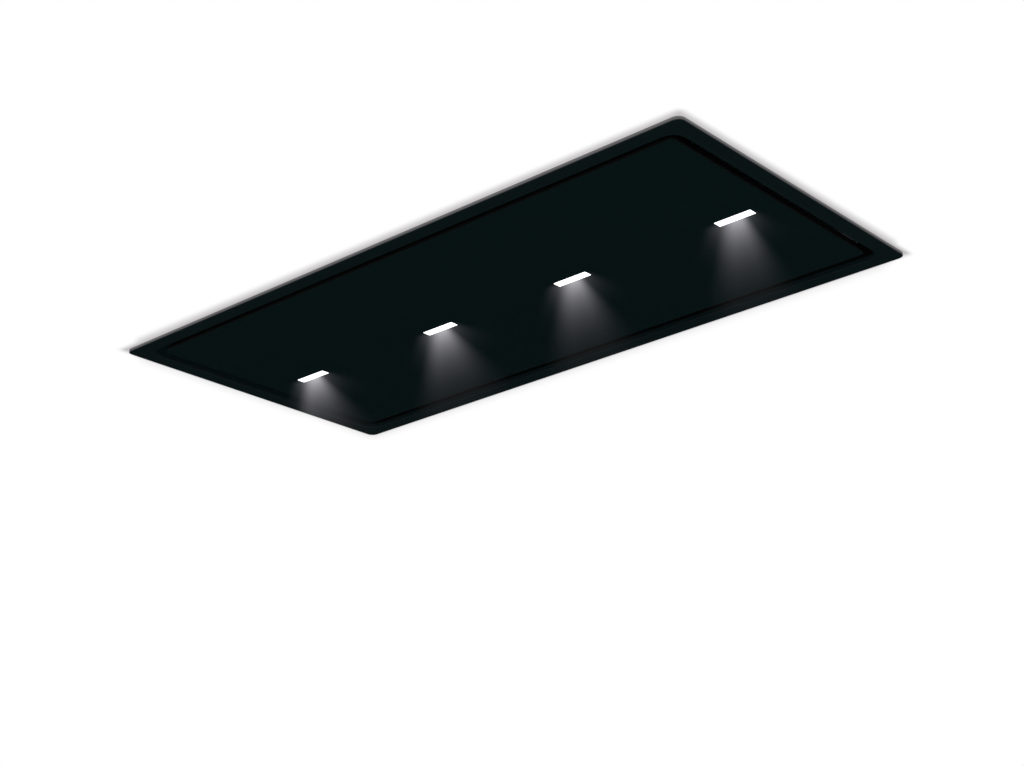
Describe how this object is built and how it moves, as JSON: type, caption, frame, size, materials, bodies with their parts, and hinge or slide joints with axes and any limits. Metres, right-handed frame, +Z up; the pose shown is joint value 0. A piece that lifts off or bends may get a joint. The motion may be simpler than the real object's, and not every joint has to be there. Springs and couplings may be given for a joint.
{
  "type": "ceiling range hood",
  "caption": "Flush ceiling range hood with edge suction: black frame, hinged black panel with light bars, filters, blower, duct collar and height-adjustable hangers.",
  "frame": {"origin": "middle of the frame, in the plane of the ceiling that the hood hangs in", "axes": "+X along the hood towards the duct collar, +Y across it towards the panel's hinges, +Z up into the ceiling"},
  "size_m": [1.2, 0.6, 0.2923],
  "materials": {
    "black_paint": "satin",
    "brushed_rim": "brushed",
    "foam": "matte",
    "black_glass": "gloss",
    "zinc": "galvanised",
    "diffuser": "frosted",
    "aluminium": "satin",
    "cast_aluminium": "cast",
    "steel": "plated",
    "magnet": "plated",
    "black_plastic": "matte",
    "grey_plastic": "matte",
    "board": "satin"
  },
  "bodies": {
    "housing": {"facing_frame": "black_paint", "rim_frame": "brushed_rim", "ceiling_seal": "foam", "cassette": "zinc", "cassette_roof": "zinc", "filter_shelf": "zinc", "grease_filter_1": "aluminium", "grease_filter_2": "aluminium", "grease_filter_3": "aluminium", "hinge_bracket_1": "zinc", "hinge_bracket_2": "zinc", "catch_bracket_1": "zinc", "catch_bracket_2": "zinc", "catch_magnet_1": "magnet", "catch_magnet_2": "magnet", "scroll_housing": "zinc", "scroll_cover": "zinc", "inlet_ring": "black_plastic", "motor": "cast_aluminium", "run_capacitor": "grey_plastic", "blower_box": "zinc", "blower_box_lid": "zinc", "outlet_adapter": "zinc", "outlet_collar": "zinc", "damper_spindle": "steel", "control_box": "grey_plastic", "control_cover": "grey_plastic", "control_board": "board", "mains_gland": "black_plastic", "light_driver": "grey_plastic", "hanger_base_1": "zinc", "hanger_base_2": "zinc", "hanger_base_3": "zinc", "hanger_base_4": "zinc"},
    "panel": {"panel_glass": "black_glass", "panel_tray": "zinc", "light_lens_1": "diffuser", "light_lens_2": "diffuser", "light_lens_3": "diffuser", "light_lens_4": "diffuser", "light_heatsink_1": "aluminium", "light_heatsink_2": "aluminium", "light_heatsink_3": "aluminium", "light_heatsink_4": "aluminium", "hinge_leaf_1": "steel", "hinge_leaf_2": "steel", "strike_plate_1": "steel", "strike_plate_2": "steel"},
    "wheel": {"impeller": "cast_aluminium", "motor_shaft": "steel"},
    "flap_1": {"damper_flap_1": "black_plastic"},
    "flap_2": {"damper_flap_2": "black_plastic"},
    "latch_1": {"filter_latch_1": "black_plastic"},
    "latch_2": {"filter_latch_2": "black_plastic"},
    "latch_3": {"filter_latch_3": "black_plastic"},
    "slider_1": {"hanger_slider_1": "steel"},
    "slider_2": {"hanger_slider_2": "steel"},
    "slider_3": {"hanger_slider_3": "steel"},
    "slider_4": {"hanger_slider_4": "steel"}
  },
  "joints": [
    {"name": "panel_hinge", "type": "hinge", "parent": "housing", "child": "panel", "pos_m": [0, 0.24, 0.0098], "axis": [1, 0, 0], "range_deg": [0, 90]},
    {"name": "wheel_spin", "type": "hinge", "parent": "housing", "child": "wheel", "pos_m": [-0.04, 0.03, 0.15], "axis": [0, 0, 1], "continuous": true},
    {"name": "flap_1_swing", "type": "hinge", "parent": "housing", "child": "flap_1", "pos_m": [0.2163, -0.06407, 0.181], "axis": [0, 0, 1], "range_deg": [0, 75], "stiffness_Nm_per_rad": 0.02},
    {"name": "flap_2_swing", "type": "hinge", "parent": "housing", "child": "flap_2", "pos_m": [0.2163, -0.06407, 0.181], "axis": [0, 0, -1], "range_deg": [0, 75], "stiffness_Nm_per_rad": 0.02},
    {"name": "latch_1_slide", "type": "slide", "parent": "housing", "child": "latch_1", "axis": [0, 1, 0], "range_m": [0, 0.007], "stiffness_N_per_m": 400, "springref_m": -0.002},
    {"name": "latch_2_slide", "type": "slide", "parent": "housing", "child": "latch_2", "axis": [0, 1, 0], "range_m": [0, 0.007], "stiffness_N_per_m": 400, "springref_m": -0.002},
    {"name": "latch_3_slide", "type": "slide", "parent": "housing", "child": "latch_3", "axis": [0, 1, 0], "range_m": [0, 0.007], "stiffness_N_per_m": 400, "springref_m": -0.002},
    {"name": "hanger_1_height", "type": "slide", "parent": "housing", "child": "slider_1", "axis": [0, 0, 1], "range_m": [-0.012, 0.04]},
    {"name": "hanger_2_height", "type": "slide", "parent": "housing", "child": "slider_2", "axis": [0, 0, 1], "range_m": [-0.012, 0.04]},
    {"name": "hanger_3_height", "type": "slide", "parent": "housing", "child": "slider_3", "axis": [0, 0, 1], "range_m": [-0.012, 0.04]},
    {"name": "hanger_4_height", "type": "slide", "parent": "housing", "child": "slider_4", "axis": [0, 0, 1], "range_m": [-0.012, 0.04]}
  ]
}
